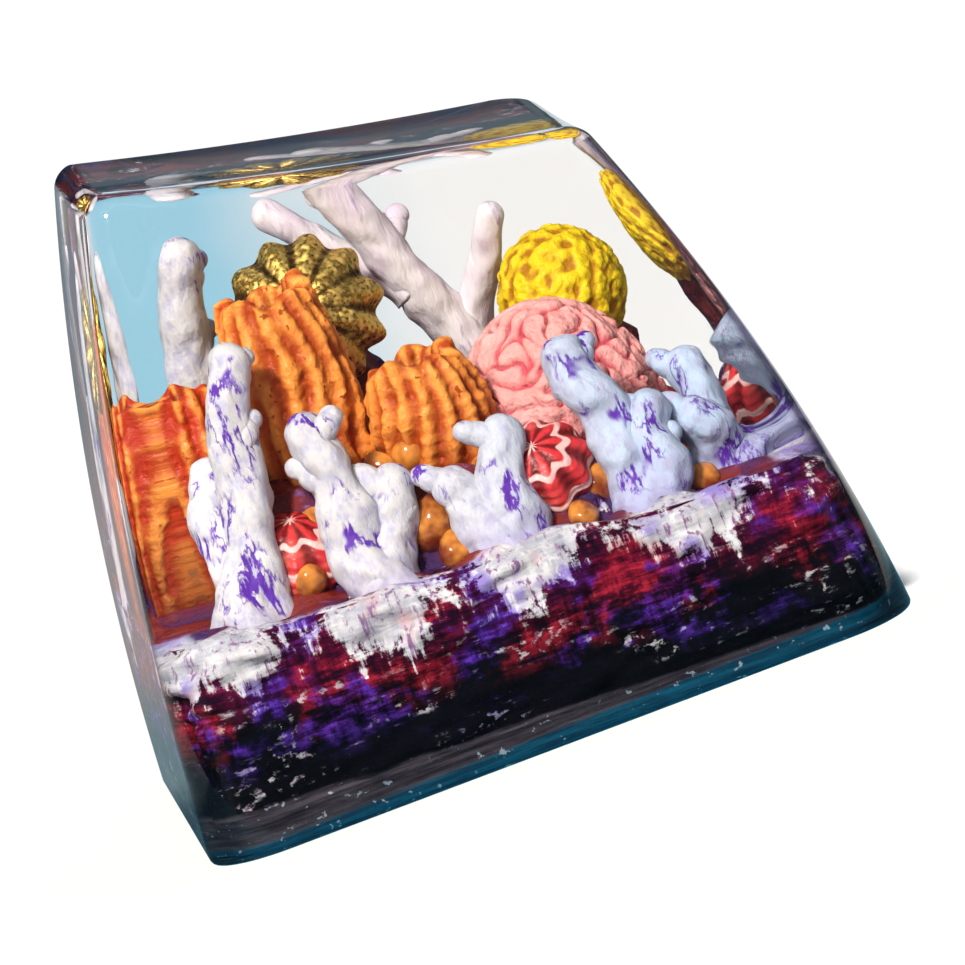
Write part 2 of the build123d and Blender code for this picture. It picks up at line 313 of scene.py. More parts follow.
def coat_over(tree, share, under, over):
    """One colour brushed over another where the share is high."""
    mix = tree.nodes.new("ShaderNodeMix")
    mix.data_type = "RGBA"
    feed(tree, share, mix.inputs[0])
    for value, socket in ((under, mix.inputs[6]), (over, mix.inputs[7])):
        feed(tree, value if isinstance(value, bpy.types.NodeSocket) else (*value, 1.0), socket)
    return mix.outputs[2]


def trait_of(tree, name):
    """A number stored on the piece's points."""
    field = tree.nodes.new("ShaderNodeAttribute")
    field.attribute_name = name
    return field.outputs["Fac"]


def axes_of(tree, place):
    """The X, Y and Z of a place."""
    split = tree.nodes.new("ShaderNodeSeparateXYZ")
    tree.links.new(place, split.inputs[0])
    return split.outputs


def emboss(tree, height, depth_mm, shader):
    """Fine relief of a given depth on a shader."""
    bump = tree.nodes.new("ShaderNodeBump")
    bump.inputs["Distance"].default_value = depth_mm * MM
    feed(tree, height, bump.inputs["Height"])
    tree.links.new(bump.outputs["Normal"], shader.inputs["Normal"])


def finish_paint(tree, shader, colour, roughness, gloss, height, depth_mm):
    """Gives a shader its colour, roughness, gloss and fine relief."""
    feed(tree, colour, shader.inputs["Base Color"])
    feed(tree, roughness, shader.inputs["Roughness"])
    feed(tree, gloss, shader.inputs["Specular IOR Level"])
    emboss(tree, height, depth_mm, shader)


def paint_foot_shade(tree, place, colour, shade_colour, low, high):
    """Painted shade: a thin darkening of a colour towards the foot, between two heights in millimetres."""
    axes = axes_of(tree, place)
    uneven = sums(tree, "MULTIPLY", mottle(tree, place, (1.2, 1.2, 0.8), 5.0, 0.6, 11.0), 0.0015)
    share = step_mask(tree, sums(tree, "ADD", axes["Z"], uneven), high * MM, low * MM)
    return coat_over(tree, sums(tree, "MULTIPLY", share, 0.85), colour, shade_colour)


def rock_paint():
    """Black, then crimson and violet patches broken by strokes, then white that runs down from the
    rim; the mound inside the rim is violet and rust, and the foot is streaky grey over teal, with
    dust."""
    material, tree, shader, place = start_paint("painted_rock")
    axes = axes_of(tree, place)
    height = sums(tree, "MULTIPLY", axes["Z"], 1 / MM)
    lean = sums(tree, "MULTIPLY", axes["X"], float(RIM_SLOPE) / MM)
    below = sums(tree, "SUBTRACT", sums(tree, "ADD", height, lean), RIM_HEIGHT)
    strokes = mottle(tree, place, (0.8, 0.8, 3.6), 9.0, 0.72, 4.0)
    fibres = mottle(tree, place, (3.0, 3.0, 0.5), 9.0, 0.68, 9.0)
    bristles = mottle(tree, place, (6.0, 6.0, 0.6), 5.0, 0.6, 17.0)
    streaks = mottle(tree, place, (0.5, 0.5, 9.0), 6.0, 0.6, 19.0)
    specks = mottle(tree, place, (3.4, 3.4, 4.5), 4.0, 0.6, 1.0)
    warm = mottle(tree, place, (0.42, 0.42, 0.5), 4.0, 0.6, 2.0)
    cool = mottle(tree, place, (0.5, 0.5, 0.6), 4.0, 0.6, 7.0)
    brush = sums(tree, "ADD", sums(tree, "MULTIPLY", strokes, 0.6), sums(tree, "MULTIPLY", fibres, 0.4))
    broken = step_mask(tree, brush, 0.42, 0.56)
    red_share = sums(tree, "MULTIPLY", step_mask(tree, warm, 0.44, 0.56), broken)
    red_share = sums(tree, "MULTIPLY", red_share, step_mask(tree, below, -3.0, -1.6))
    blue_share = sums(tree, "MULTIPLY", step_mask(tree, cool, 0.49, 0.58), broken)
    blue_share = sums(tree, "MULTIPLY", blue_share, step_mask(tree, below, -3.5, -2.2))
    red = coat_over(tree, step_mask(tree, brush, 0.44, 0.62), DEEP_CRIMSON, CRIMSON)
    blue = coat_over(tree, step_mask(tree, brush, 0.44, 0.64), DEEP_VIOLET, VIOLET)
    plum = coat_over(tree, step_mask(tree, brush, 0.4, 0.6), DEEP_PLUM, PLUM)
    dark = coat_over(tree, step_mask(tree, below, -2.2, -0.9), BLACK, plum)
    colour = coat_over(tree, red_share, dark, red)
    colour = coat_over(tree, blue_share, colour, blue)
    white = sums(tree, "ADD", sums(tree, "MULTIPLY", fibres, 2.3), strokes)
    white = sums(tree, "ADD", white, sums(tree, "MULTIPLY", trait_of(tree, "crag"), 0.05))
    white = sums(tree, "ADD", white, sums(tree, "MULTIPLY", trait_of(tree, "runs"), 1.05))
    white = sums(tree, "ADD", white, sums(tree, "MULTIPLY", below, 0.29))
    white = sums(tree, "ADD", white, sums(tree, "MULTIPLY", bristles, 0.7))
    white_share = step_mask(tree, white, 2.06, 2.28)
    swarm = mottle(tree, place, (0.35, 0.35, 0.9), 3.0, 0.5, 14.0)
    dust = sums(tree, "MULTIPLY", step_mask(tree, specks, 0.54, 0.62), step_mask(tree, strokes, 0.48, 0.58))
    dust = sums(tree, "MULTIPLY", dust, step_mask(tree, swarm, 0.46, 0.58))
    white_share = sums(tree, "MAXIMUM", white_share, sums(tree, "MULTIPLY", dust, 0.65))
    pale = coat_over(tree, step_mask(tree, brush, 0.4, 0.62), THIN_WHITE, WHITE)
    pale = coat_over(tree, step_mask(tree, cool, 0.48, 0.62), pale, LILAC_WHITE)
    pale = coat_over(tree, step_mask(tree, warm, 0.54, 0.66), pale, ROSE_WHITE)
    pale = coat_over(tree, step_mask(tree, fibres, 0.56, 0.66), pale, THICK_WHITE)
    pale = coat_over(tree, step_mask(tree, bristles, 0.47, 0.36), pale, BRISTLE_SHADE)
    colour = coat_over(tree, white_share, colour, pale)
    mound = coat_over(tree, step_mask(tree, warm, 0.38, 0.56), MOUND_VIOLET, MOUND_RUST)
    mound = coat_over(tree, step_mask(tree, brush, 0.54, 0.66), mound, MOUND_LILAC)
    inside = sums(tree, "ADD", below, sums(tree, "MULTIPLY", fibres, 0.6))
    inside = step_mask(tree, inside, 0.7, 1.0)
    shelf = sums(tree, "ADD", trait_of(tree, "inward"), sums(tree, "MULTIPLY", fibres, 0.06))
    inside = sums(tree, "MAXIMUM", inside, step_mask(tree, shelf, 0.065, 0.09))
    colour = coat_over(tree, inside, colour, mound)
    grey = coat_over(tree, step_mask(tree, streaks, 0.35, 0.65), FOOT_SHADE, FOOT_GREY)
    teal = coat_over(tree, step_mask(tree, streaks, 0.4, 0.62), FOOT_DEEP_TEAL, FOOT_TEAL)
    waterline = sums(tree, "SUBTRACT", height, sums(tree, "MULTIPLY", axes["X"], 14.0))
    grey = coat_over(tree, step_mask(tree, waterline, 0.34, 0.26), grey, teal)
    grey = coat_over(tree, step_mask(tree, specks, 0.63, 0.67), grey, DUST)
    band = sums(tree, "ADD", height, sums(tree, "MULTIPLY", axes["X"], 40.0))
    band = sums(tree, "ADD", band, sums(tree, "MULTIPLY", strokes, 0.2))
    colour = coat_over(tree, step_mask(tree, band, 0.9, 0.78), colour, grey)
    dry = sums(tree, "SUBTRACT", step_mask(tree, strokes, -0.4, 1.2), sums(tree, "MULTIPLY", inside, 0.25))
    gloss = sums(tree, "ADD", sums(tree, "MULTIPLY", inside, 0.4), 0.03)
    finish_paint(tree, shader, colour, dry, gloss, brush, 0.25)
    return material


rock_material = rock_paint()
rows, crag, runs, inward = rock_crust()
spire, spire_swell = finger_surface(
    spot(-0.2, 0.42, 0), spot(-0.28, 0.36, 0.62), SPIRE_ROOT, SPIRE_TIP, SPIRE_FLARE, STUMP_SWELL, 14
)
knob, knob_swell = finger_surface(
    spot(0.6, 0.4, 0), spot(0.62, 0.34, 0.32), KNOB_ROOT, KNOB_TIP, KNOB_FLARE, STUMP_SWELL, 15
)
rock_face = closed_piece(
    "rock_crust",
    [rows, spire, knob],
    crag=[crag, 0.3 * spire_swell, 0.3 * knob_swell],
    runs=[runs, 0.0, 0.0],
    inward=[inward, 1.0, 1.0],
)
rock_face.data.materials.append(rock_material)
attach(rock_face, "root")
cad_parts["rock_base"].data.materials.clear()
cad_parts["rock_base"].data.materials.append(rock_material)

# White finger corals. Small clumps shaped by hand in modelling putty, painted white with violet
# shade in the hollows; each stands on the rim of the rock, its foot run into the white paint.

ROOT_DEPTH = 0.5
FINGER_ROOT, FINGER_TIP, FINGER_FLARE, FINGER_SWELL = 0.8, 0.52, 0.55, 0.08
BUD_ROOT, BUD_TIP, BUD_SWELL = 0.4, 0.27, 0.06
CORAL_LIT_WHITE = (0.57, 0.56, 0.57)
CORAL_SHADED_BLUE_WHITE = (0.38, 0.48, 0.64)
CORAL_SHADE = (0.38, 0.38, 0.54)
CORAL_FOOT_SHADE = (0.3, 0.26, 0.5)
CORAL_VIOLET = (0.09, 0.02, 0.32)


def side_buds(foot, head, count, sides, seed):
    """Short stubs that stand out and up from a finger, to the sides given: 0 is right and 1 is left."""
    draw = np.random.default_rng(seed)
    buds = []
    for share in np.linspace(0.42, 0.86, count):
        middle = foot + (head - foot) * share + [0, 0, FINGER_ROOT * share * (1 - share)]
        left = sides[len(buds) % 2]
        turn = np.pi * left + draw.uniform(-0.1, 0.7) * (1 - 2 * left)
        out = np.array([np.cos(turn), np.sin(turn), 0.95]) * draw.uniform(0.66, 0.8)
        bud = finger_surface(middle, middle + out, BUD_ROOT, BUD_TIP, 0.0, BUD_SWELL, seed + len(buds))
        buds.append(bud)
    return buds


def coral_paint():
    """White, with painted shade that turns it bluer to the right, and thin violet strokes in some of the
    hollows.
    """
    material, tree, shader, place = start_paint("white_coral")
    strokes = mottle(tree, place, (2.2, 2.2, 0.55), 5.0, 0.6, 3.0)
    patches = mottle(tree, place, (0.8, 0.8, 0.6), 3.0, 0.5, 5.0)
    grains = mottle(tree, place, (4.0, 4.0, 2.5), 5.0, 0.6, 6.0)
    line = sums(tree, "ABSOLUTE", sums(tree, "SUBTRACT", strokes, 0.5), 0.0)
    line = sums(tree, "ADD", line, sums(tree, "MULTIPLY", trait_of(tree, "swell"), 0.02))
    violet = step_mask(tree, line, 0.05, 0.0)
    violet = sums(tree, "MULTIPLY", violet, step_mask(tree, patches, 0.49, 0.56))
    axes = axes_of(tree, place)
    # Painted shade: the white turns bluer towards the right, as corals in blue sky-lit shade would look.
    cool = step_mask(tree, axes["X"], -0.003, 0.006)
    white = coat_over(tree, cool, CORAL_LIT_WHITE, CORAL_SHADED_BLUE_WHITE)
    white = coat_over(tree, step_mask(tree, grains, 0.6, 0.25), white, CORAL_SHADE)
    # Painted shade, darker towards the foot.
    white = paint_foot_shade(tree, place, white, CORAL_FOOT_SHADE, 4.6, 6.6)
    colour = coat_over(tree, violet, white, CORAL_VIOLET)
    finish_paint(tree, shader, colour, step_mask(tree, grains, -0.4, 1.3), 0.25, grains, 0.08)
    return material


coral_material = coral_paint()
FINGERS = {
    "finger_coral_left": [(0.62, 0.12, 0.0), (0.34, -0.02, 0.18)],
    "finger_coral_mid_left": [(0.42, -0.1, 0.0), (0.24, 0.14, 0.02)],
    "finger_coral_middle": [(0.3, 0.1, 0.0), (0.2, -0.12, 0.0)],
    "finger_coral_mid_right": [(0.46, -0.06, 0.0), (0.26, 0.12, 0.02)],
    "finger_coral_right": [(0.32, 0.0, 0.06), (0.2, -0.06, -0.12)],
    "finger_coral_back": [(0.78, 0.1, -0.1), (0.45, 0.2, 0.2)],
}
for number, (node, fingers) in enumerate(FINGERS.items()):
    u, v = CORAL_FEET[node]
    foot = spot(u, v, 0) - [0, 0, ROOT_DEPTH]
    grown = []
    for k, (w, lean_u, lean_v) in enumerate(fingers):
        head = spot(u + lean_u, v + lean_v, w)
        grown.append(
            finger_surface(
                foot, head, FINGER_ROOT, FINGER_TIP, FINGER_FLARE, FINGER_SWELL, 10 * number + k
            )
        )
        grown += side_buds(foot, head, 2 + (w > 0.4), (u > 0.7, u > -0.7), 300 + 10 * number + k)
    clump = closed_piece(node + "_clump", [grid for grid, _ in grown], swell=[swell for _, swell in grown])
    clump.data.materials.append(coral_material)
    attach(clump, "root")
    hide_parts(node)

# Orange barrel sponges. Hollow vases of putty with soft ribs down their sides, painted orange with
# a paler lip, with painted shade in the grooves and down the throat; they stand on the mound behind the
# white corals.

BARREL_BELLY, BARREL_LIP, BARREL_MOUTH, BARREL_DEPTH, SMALL_BELLY = 1.5, 1.15, 0.75, 1.5, 1.08
ORANGE = (0.8, 0.28, 0.05)
ORANGE_GROOVE_SHADE = (0.36, 0.05, 0.005)
ORANGE_PORE = (0.3, 0.05, 0.006)
ORANGE_RED = (0.42, 0.03, 0.006)
ORANGE_FOOT_SHADE = (0.16, 0.02, 0.006)
ORANGE_THROAT_SHADE = (0.14, 0.02, 0.006)


def barrel_surface(foot, head, belly, ribs, seed):
    """Rings from the foot up to a wavy lip, over a round edge, and down into the throat; the radius
    swells most at two thirds of the height, with ribs that wander a little."""
    turn = np.linspace(0, 2 * np.pi, 120, endpoint=False)
    size = belly / BARREL_BELLY
    lip, mouth, depth = BARREL_LIP * size, BARREL_MOUTH * size, BARREL_DEPTH * size
    share = np.linspace(0, 1, 60)[:, None]
    edge = np.linspace(0, np.pi, 14)[1:, None]
    down = np.linspace(0, 1, 16)[1:, None]
    wall = lip + (belly - lip) * np.sin(np.pi * share**1.61)
    rim = (lip + mouth) / 2 + (lip - mouth) / 2 * np.cos(edge)
    throat = mouth * (1 - 0.5 * down)
    radius = np.vstack([wall, rim, throat])
    axis = np.vstack([share, 1 + 0 * edge, 1 + 0 * down])
    rise = np.vstack([0 * share, (lip - mouth) * 0.3 * np.sin(edge), -depth * down])
    middle = foot + (head - foot) * axis + [0, 0, 1] * rise
    ring = np.stack([np.cos(turn), np.sin(turn), 0 * turn], -1)
    body = middle[:, None] + radius[..., None] * ring
    body[..., 2] += 0.13 * size * (np.sin(2 * turn + seed) + np.sin(5 * turn)) * axis**6
    rib = np.cos(ribs * turn + 1.2 * ripple(body, 4.0, seed))
    rib = 0.06 * rib + 0.022 * ripple(body, 0.9, seed + 1) + 0.014 * ripple(body, 0.3, seed + 2)
    deep = np.vstack([0 * share, 0.3 * edge / np.pi, 0.3 + 0.7 * down]) + 0 * turn
    return body + (radius * rib)[..., None] * ring, rib / 0.06, deep


def sponge_paint():
    """Orange with darker pores, painted shade in the grooves, a paler ridge colour and painted red-brown
    shade down the throat.
    """
    material, tree, shader, place = start_paint("orange_sponge")
    pores = mottle(tree, place, (4.5, 4.5, 4.5), 3.0, 0.5, 2.0)
    patches = mottle(tree, place, (1.4, 1.4, 0.5), 4.0, 0.6, 8.0)
    ridge = sums(tree, "ADD", sums(tree, "MULTIPLY", trait_of(tree, "rib"), 0.4), patches)
    # Painted shade: dark orange-brown where the ribs dip, broken by patches.
    colour = coat_over(tree, step_mask(tree, ridge, -0.05, 1.0), ORANGE_GROOVE_SHADE, ORANGE)
    colour = coat_over(tree, step_mask(tree, pores, 0.64, 0.7), colour, ORANGE_PORE)
    axes = axes_of(tree, place)
    left = step_mask(tree, axes["X"], -0.0035, -0.006)
    left = sums(tree, "MULTIPLY", left, step_mask(tree, ridge, 1.1, 0.1))
    colour = coat_over(tree, left, colour, ORANGE_RED)
    # Painted shade, darker towards the foot.
    colour = paint_foot_shade(tree, place, colour, ORANGE_FOOT_SHADE, 5.4, 9.0)
    # Painted shade: red-brown, darker the deeper it lies in the throat.
    colour = coat_over(tree, step_mask(tree, trait_of(tree, "deep"), 0.2, 0.7), colour, ORANGE_THROAT_SHADE)
    finish_paint(tree, shader, colour, step_mask(tree, pores, -0.2, 1.2), 0.25, pores, 0.1)
    return material


sponge_material = sponge_paint()
BARRELS = {
    "barrel_sponge_large": ((-0.42, -0.34, 0), (-0.46, -0.42, 0.72), BARREL_BELLY, 15),
    "barrel_sponge_middle": ((-0.02, -0.44, 0), (0.0, -0.56, 0.5), BARREL_BELLY, 14),
    "barrel_sponge_small": ((-0.78, -0.2, 0), (-0.86, -0.24, 0.5), SMALL_BELLY, 11),
}
for number, (node, (foot, head, belly, ribs)) in enumerate(BARRELS.items()):
    foot = spot(*foot) - [0, 0, ROOT_DEPTH]
    grid, rib, deep = barrel_surface(foot, spot(*head), belly, ribs, 70 + 5 * number)
    vase = closed_piece(node + "_vase", [grid], rib=[rib], deep=[deep])
    vase.data.materials.append(sponge_material)
    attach(vase, "root")
    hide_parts(node)

# Pink brain coral. A high dome of putty whose surface is worked into winding ridges, painted rose
# in the grooves and pale pink on the ridges; it sits on the right of the mound.

CORAL_RADIUS, CORAL_HEIGHT, CORAL_LOBES = 2.6, 3.3, 11
PINK = (0.7, 0.3, 0.28)
PALE_PINK = (0.72, 0.4, 0.38)
ROSE = (0.45, 0.06, 0.08)
DEEP_ROSE = (0.5, 0.07, 0.1)
ROSE_FOOT_SHADE = (0.4, 0.05, 0.08)


def winding(points, wave, seed):
    """Winding ridges: near 0 along the lines where smooth noise changes sign, and 1 between them."""
    return np.tanh(1.9 * abs(ripple(points, wave, seed)))


def brain_surface(middle):
    """An upright half ellipse turned round, with faint lobes, pushed out between winding grooves."""
    turn = np.linspace(0, 2 * np.pi, 220, endpoint=False)
    high = np.radians(np.linspace(-22, 89, 120))[:, None]
    lobes = 1 - 0.05 * (1 - np.cos(CORAL_LOBES * turn)) * np.cos(high)
    dome = np.stack([np.cos(high) * np.cos(turn) * lobes, np.cos(high) * np.sin(turn) * lobes], -1)
    dome = raised(dome, np.sin(high)) * [CORAL_RADIUS, CORAL_RADIUS, CORAL_HEIGHT]
    ridge = winding(dome + 0.12 * ripple(dome, 1.3, 31)[..., None], 0.88, 30)
    return middle + dome * (0.94 + 0.075 * ridge)[..., None], ridge


def brain_paint():
    """Rose in the grooves, pale pink on the ridges, with small grains all over."""
    material, tree, shader, place = start_paint("pink_coral")
    grains = mottle(tree, place, (4.5, 4.5, 4.5), 3.0, 0.5, 3.0)
    patches = mottle(tree, place, (0.5, 0.5, 0.5), 2.0, 0.5, 1.0)
    ridge = sums(tree, "ADD", trait_of(tree, "ridge"), sums(tree, "MULTIPLY", grains, 0.5))
    colour = coat_over(tree, step_mask(tree, ridge, 0.35, 1.15), ROSE, PINK)
    colour = coat_over(tree, step_mask(tree, patches, 0.5, 0.7), colour, PALE_PINK)
    colour = coat_over(tree, step_mask(tree, ridge, 0.75, 0.3), colour, DEEP_ROSE)
    # Painted shade, darker towards the foot.
    colour = paint_foot_shade(tree, place, colour, ROSE_FOOT_SHADE, 5.6, 8.4)
    finish_paint(tree, shader, colour, step_mask(tree, grains, -0.3, 1.2), 0.25, grains, 0.14)
    return material


grid, ridge = brain_surface(spot(0.42, -0.24, 0.18))
brain = closed_piece("brain_coral_dome", [grid], ridge=[ridge])
brain.data.materials.append(brain_paint())
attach(brain, "root")
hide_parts("brain_coral")

# Yellow sponge ball. A ball of putty rolled in fine crumbs and painted a strong yellow; it rests
# on a knob of the rock at the back right.

BALL_RADIUS = 1.6
YELLOW = (0.68, 0.48, 0.008)
OCHRE = (0.34, 0.14, 0.003)
OCHRE_FOOT_SHADE = (0.45, 0.2, 0.01)


def crumb_ball(middle):
    """A sphere pushed out in close round crumbs of two sizes, each a soft step of smooth noise."""
    turn = np.linspace(0, 2 * np.pi, 240, endpoint=False)
    high = np.radians(np.linspace(-88, 88, 140))[:, None]
    ball = raised(np.stack([np.cos(high) * np.cos(turn), np.cos(high) * np.sin(turn)], -1), np.sin(high))
    ball = ball * BALL_RADIUS
    crumb = 0.5 + 0.3 * np.tanh(1.6 * ripple(ball, 0.5, 40)) + 0.2 * np.tanh(1.6 * ripple(ball, 0.34, 41))
    return middle + ball * (0.96 + 0.07 * crumb)[..., None], crumb


def crumb_paint():
    """Strong yellow, ochre between the crumbs."""
    material, tree, shader, place = start_paint("yellow_sponge")
    grains = mottle(tree, place, (5.0, 5.0, 5.0), 3.0, 0.5, 2.0)
    crumb = sums(tree, "ADD", trait_of(tree, "crumb"), sums(tree, "MULTIPLY", grains, 0.5))
    colour = coat_over(tree, step_mask(tree, crumb, 0.3, 0.9), OCHRE, YELLOW)
    # Painted shade, darker towards the foot.
    colour = paint_foot_shade(tree, place, colour, OCHRE_FOOT_SHADE, 7.4, 9.4)
    finish_paint(tree, shader, colour, step_mask(tree, grains, -0.3, 1.2), 0.2, grains, 0.1)
    return material


grid, crumb = crumb_ball(spot(0.64, 0.28, 0.5))
ball = closed_piece("sponge_ball_crumbs", [grid], crumb=[crumb])
ball.data.materials.append(crumb_paint())
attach(ball, "root")
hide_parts("sponge_ball")

# Gold shell. A limpet-like shell with ribs that run out from its peak, pressed from putty and
# covered with metallic gold paint; it clings to the spire at the back left.

GOLD_RADIUS, GOLD_HEIGHT, GOLD_RIBS, GOLD_GROOVE, GOLD_LOWEST = 2.0, 1.2, 11, 0.13, 1
GOLD = (0.55, 0.33, 0.06)
BRIGHT_GOLD = (0.85, 0.6, 0.17)
GOLD_UNDERCOAT = (0.1, 0.05, 0.012)


def shell_surface(place, target, radius, height, ribs, groove, lowest, seed):
    """A half ellipse turned round an axis that points at a target, from its lowest angle in degrees
    up to the peak, with ribs from the peak to the edge and fine growth lines across them."""
    axis = (target - place) / np.linalg.norm(target - place)
    across = np.cross([0, 0, 1], axis)
    across /= np.linalg.norm(across)
    turned = np.array([across, np.cross(axis, across), axis])
    turn = np.linspace(0, 2 * np.pi, 200, endpoint=False)
    high = np.radians(np.linspace(lowest, 89, 70))[:, None]
    rib = 0.5 + 0.5 * np.cos(ribs * turn)
    growth = 0.012 * np.sin(np.degrees(high) * 0.55 + 0.4 * np.cos(ribs * turn))
    out = np.cos(high) * (1 - groove * (1 - rib) + growth)
    dome = raised(np.stack([out * np.cos(turn), out * np.sin(turn)], -1), np.sin(high))
    dome = dome * [radius, radius, height]
    dome = dome * (1 + 0.01 * ripple(dome, 0.8, seed))[..., None]
    band = np.sin(np.degrees(high) * 0.16 + 0.5 * np.cos(ribs * turn) + 0.6 * ripple(dome, 1.6, seed + 1))
    return place + dome @ turned, rib + 0 * high, band


def gold_paint():
    """Metallic gold flake over dark brown, thin in the grooves."""
    material, tree, shader, place = start_paint("gold_paint")
    flakes = mottle(tree, place, (9.0, 9.0, 9.0), 2.0, 0.5, 5.0)
    patches = mottle(tree, place, (1.2, 1.2, 1.2), 4.0, 0.6, 2.0)
    cover = sums(tree, "ADD", trait_of(tree, "rib"), sums(tree, "MULTIPLY", patches, 0.6))
    colour = coat_over(tree, step_mask(tree, flakes, 0.35, 0.65), GOLD, BRIGHT_GOLD)
    colour = coat_over(tree, step_mask(tree, cover, 0.6, 0.25), colour, GOLD_UNDERCOAT)
    tree.links.new(colour, shader.inputs["Base Color"])
    shader.inputs["Metallic"].default_value = 0.9
    tree.links.new(step_mask(tree, flakes, 0.1, 1.1), shader.inputs["Roughness"])
    emboss(tree, flakes, 0.014, shader)
    return material


place, target = spot(-0.28, 0.3, 0.58), spot(-0.34, -0.6, 0.8)
grid, rib, _ = shell_surface(
    place, target, GOLD_RADIUS, GOLD_HEIGHT, GOLD_RIBS, GOLD_GROOVE, GOLD_LOWEST, 50
)
gold = closed_piece("gold_shell_ribbed", [grid], rib=[rib])
gold.data.materials.append(gold_paint())
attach(gold, "root")
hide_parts("gold_shell")

# Red striped shells. Small ribbed shells painted glossy red with pale bands across the ribs, set
# into the front of the mound between the white corals.

STRIPED_RADIUS, STRIPED_HEIGHT, STRIPED_RIBS, STRIPED_GROOVE, STRIPED_LOWEST = 1.35, 1.1, 9, 0.1, -42
RED = (0.55, 0.03, 0.035)
RED_GROOVE = (0.14, 0.004, 0.006)
RED_PATCH = (0.6, 0.14, 0.1)
PINK_BAND = (0.75, 0.45, 0.43)


def striped_paint():
    """Glossy red, deeper in the grooves, with pale pink bands that wander across the ribs."""
    material, tree, shader, place = start_paint("red_shell")
    patches = mottle(tree, place, (0.9, 0.9, 0.9), 3.0, 0.5, 4.0)
    grains = mottle(tree, place, (5.0, 5.0, 5.0), 3.0, 0.5, 7.0)
    rib = trait_of(tree, "rib")
    colour = coat_over(tree, step_mask(tree, rib, 0.0, 0.9), RED_GROOVE, RED)
    colour = coat_over(tree, step_mask(tree, patches, 0.5, 0.72), colour, RED_PATCH)
    band = sums(tree, "ADD", trait_of(tree, "band"), sums(tree, "MULTIPLY", grains, 0.5))
    colour = coat_over(tree, step_mask(tree, band, 0.85, 1.15), colour, PINK_BAND)
    finish_paint(tree, shader, colour, step_mask(tree, grains, -0.3, 1.6), 0.35, grains, 0.05)
    return material


striped_material = striped_paint()
STRIPED = {
    "striped_shell_left": ((-0.6, -0.66, 0.1), (-0.55, -1.3, 0.8)),
    "striped_shell_middle": ((0.26, -0.74, 0.16), (0.26, -1.4, 0.6)),
    "striped_shell_right": ((0.8, -0.1, 0.08), (0.95, -0.5, 0.8)),
}
for number, (node, (place, target)) in enumerate(STRIPED.items()):
    place, target = spot(*place), spot(*target)
    grid, rib, band = shell_surface(
        place, target, STRIPED_RADIUS, STRIPED_HEIGHT, STRIPED_RIBS,
        STRIPED_GROOVE, STRIPED_LOWEST, 60 + number,
    )
    shell = closed_piece(node + "_ribbed", [grid], rib=[rib], band=[band])
    shell.data.materials.append(striped_material)
    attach(shell, "root")
    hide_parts(node)

# Bleached branch. A thin wire twig covered with putty and painted off-white with lilac shade; its
# foot is sunk into the mound and it leans across the back, with two side twigs.

BRANCH_ROOT, BRANCH_TIP, BRANCH_FLARE, BRANCH_SWELL = 0.75, 0.5, 0.2, 0.06
TWIG_ROOT, TWIG_TIP, TWIG_FLARE = 0.5, 0.35, 0.1
BLEACHED = (0.72, 0.68, 0.7)
BLEACHED_LILAC = (0.6, 0.5, 0.6)
GRAIN_LINE = (0.4, 0.3, 0.46)


def branch_paint():
    """Off-white with lilac shade in long grain lines."""
    material, tree, shader, place = start_paint("bleached_wood")
    grain = mottle(tree, place, (3.0, 3.0, 0.7), 5.0, 0.6, 2.0)
    patches = mottle(tree, place, (0.7, 0.7, 0.5), 3.0, 0.6, 6.0)
    colour = coat_over(tree, step_mask(tree, patches, 0.4, 0.7), BLEACHED, BLEACHED_LILAC)
    colour = coat_over(tree, step_mask(tree, grain, 0.6, 0.72), colour, GRAIN_LINE)
    finish_paint(tree, shader, colour, step_mask(tree, grain, -0.4, 1.2), 0.2, grain, 0.1)
    return material


foot, head = spot(0.45, 0.6, 0), spot(-0.05, 0.5, 0.92)
limbs = [finger_surface(foot, head, BRANCH_ROOT, BRANCH_TIP, BRANCH_FLARE, BRANCH_SWELL, 90)]
TWIGS = (((0.26, 0.56, 0.36), (0.55, 0.45, 0.74), 93), ((0.14, 0.53, 0.56), (-0.3, 0.66, 0.82), 96))
for low, high, seed in TWIGS:
    limbs.append(
        finger_surface(spot(*low), spot(*high), TWIG_ROOT, TWIG_TIP, TWIG_FLARE, BRANCH_SWELL, seed)
    )
limbs += side_buds(foot, head, 4, (0, 1), 330)
branch = closed_piece("bleached_branch_limbs", [grid for grid, _ in limbs])
branch.data.materials.append(branch_paint())
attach(branch, "root")
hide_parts("bleached_branch")

# Amber pebbles. Glossy red-brown beads of resin, pressed into the rock between the shells and the
# feet of the corals.

PEBBLE_RADIUS = 0.75
AMBER = (0.62, 0.24, 0.04)
RED_BROWN = (0.16, 0.025, 0.008)


def pebble_surface(middle, radius, seed):
    """A sphere made slightly uneven by smooth noise."""
    turn = np.linspace(0, 2 * np.pi, 48, endpoint=False)
    high = np.radians(np.linspace(-86, 86, 32))[:, None]
    ball = raised(np.stack([np.cos(high) * np.cos(turn), np.cos(high) * np.sin(turn)], -1), np.sin(high))
    return middle + ball * radius * (1 + 0.05 * ripple(ball, 1.6, seed))[..., None]


def pebble_paint():
    """Amber to red-brown in soft clouds, under a glossy coat."""
    material, tree, shader, place = start_paint("amber_bead")
    clouds = mottle(tree, place, (1.1, 1.1, 1.1), 3.0, 0.6, 2.0)
    colour = coat_over(tree, step_mask(tree, clouds, 0.35, 0.65), RED_BROWN, AMBER)
    tree.links.new(colour, shader.inputs["Base Color"])
    tree.links.new(step_mask(tree, clouds, 0.2, 1.6), shader.inputs["Roughness"])
    shader.inputs["Coat Weight"].default_value = 0.5
    emboss(tree, clouds, 0.03, shader)
    return material


